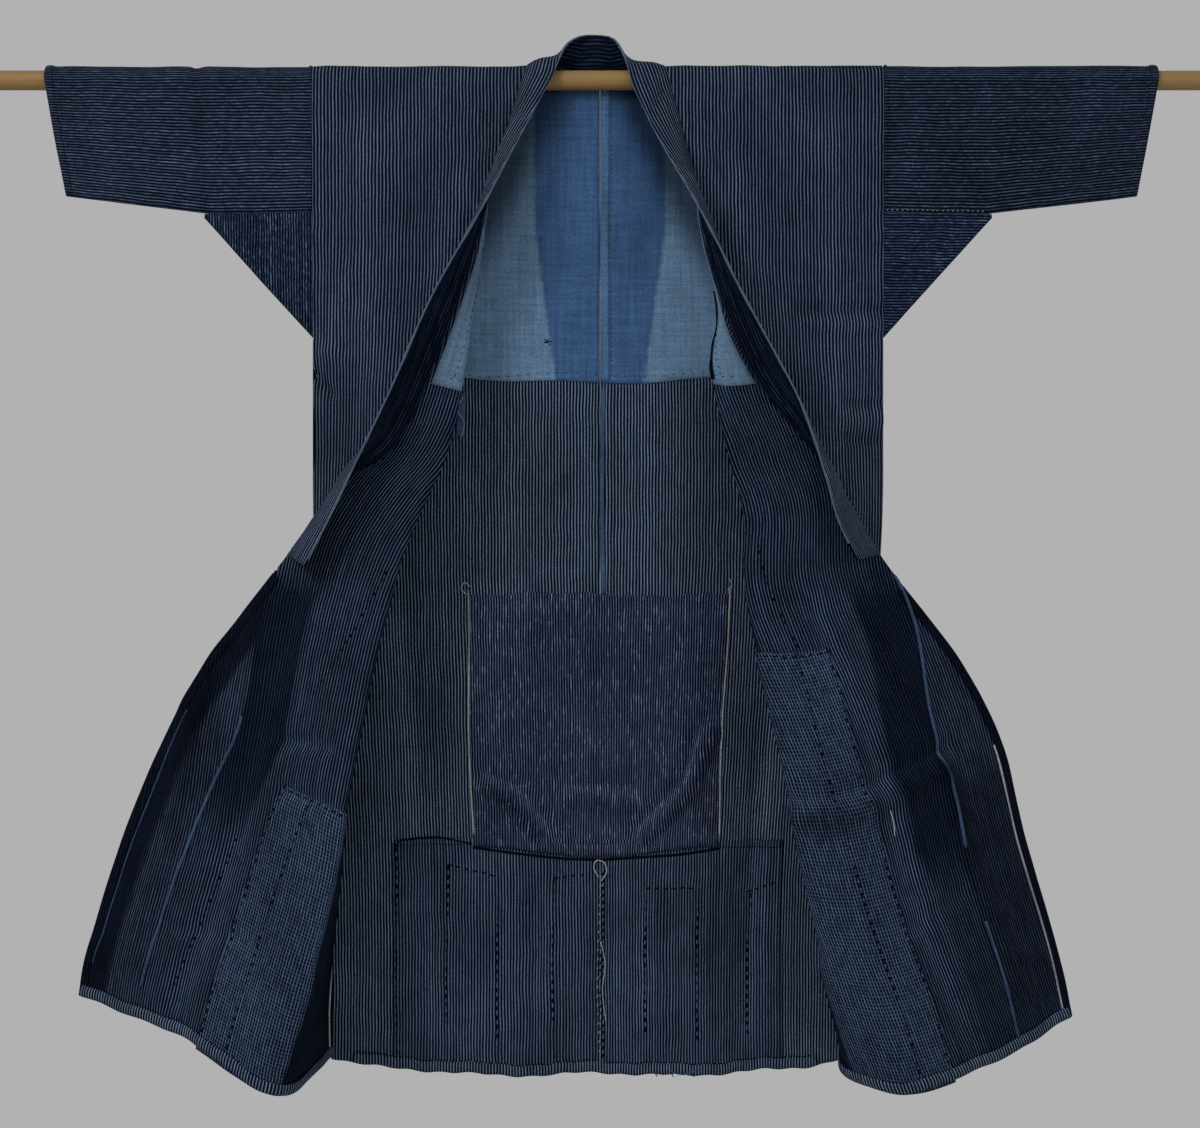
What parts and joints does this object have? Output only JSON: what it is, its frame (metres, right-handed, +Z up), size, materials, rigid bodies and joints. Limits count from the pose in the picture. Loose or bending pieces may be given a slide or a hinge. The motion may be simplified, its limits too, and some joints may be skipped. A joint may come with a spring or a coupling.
{
  "type": "patched boro jacket hung on a round wooden rod",
  "caption": "Open-fronted indigo striped cotton work coat with patches and a faded lining, its fronts turned back, hung by its sleeves over a plain round rod.",
  "frame": {"origin": "middle of the rod's axis, where the coat hangs", "axes": "+Z up, +X along the rod to the viewer's right, the open front faces -Y"},
  "size_m": [1.32, 0.1482, 1.067],
  "materials": {
    "rod_wood": "bare smooth pale wood",
    "body_cotton": "worn indigo cotton with fine upright pale stripes",
    "lining_cotton": "thin faded plain blue cotton",
    "patch_cotton": "indigo cotton with broken pale stripes",
    "check_cotton": "indigo cotton with a small check",
    "sleeve_cotton": "dark indigo cotton with fine level stripes",
    "collar_cotton": "folded band of striped indigo cotton, faded along its edge"
  },
  "bodies": {
    "root": {"rod": "rod_wood", "back_left": "body_cotton", "back_right": "body_cotton", "back_lining_left": "lining_cotton", "back_lining_right": "lining_cotton", "centre_patch": "patch_cotton", "lower_back_patch": "patch_cotton", "front_left": "body_cotton", "front_right": "body_cotton", "front_strip_left": "body_cotton", "front_strip_right": "body_cotton", "front_lining_left": "lining_cotton", "front_lining_right": "lining_cotton", "checked_patch_left": "check_cotton", "checked_patch_right": "check_cotton", "sleeve_left": "sleeve_cotton", "sleeve_right": "sleeve_cotton", "gusset_left": "sleeve_cotton", "gusset_right": "sleeve_cotton", "collar": "collar_cotton"}
  },
  "joints": []
}
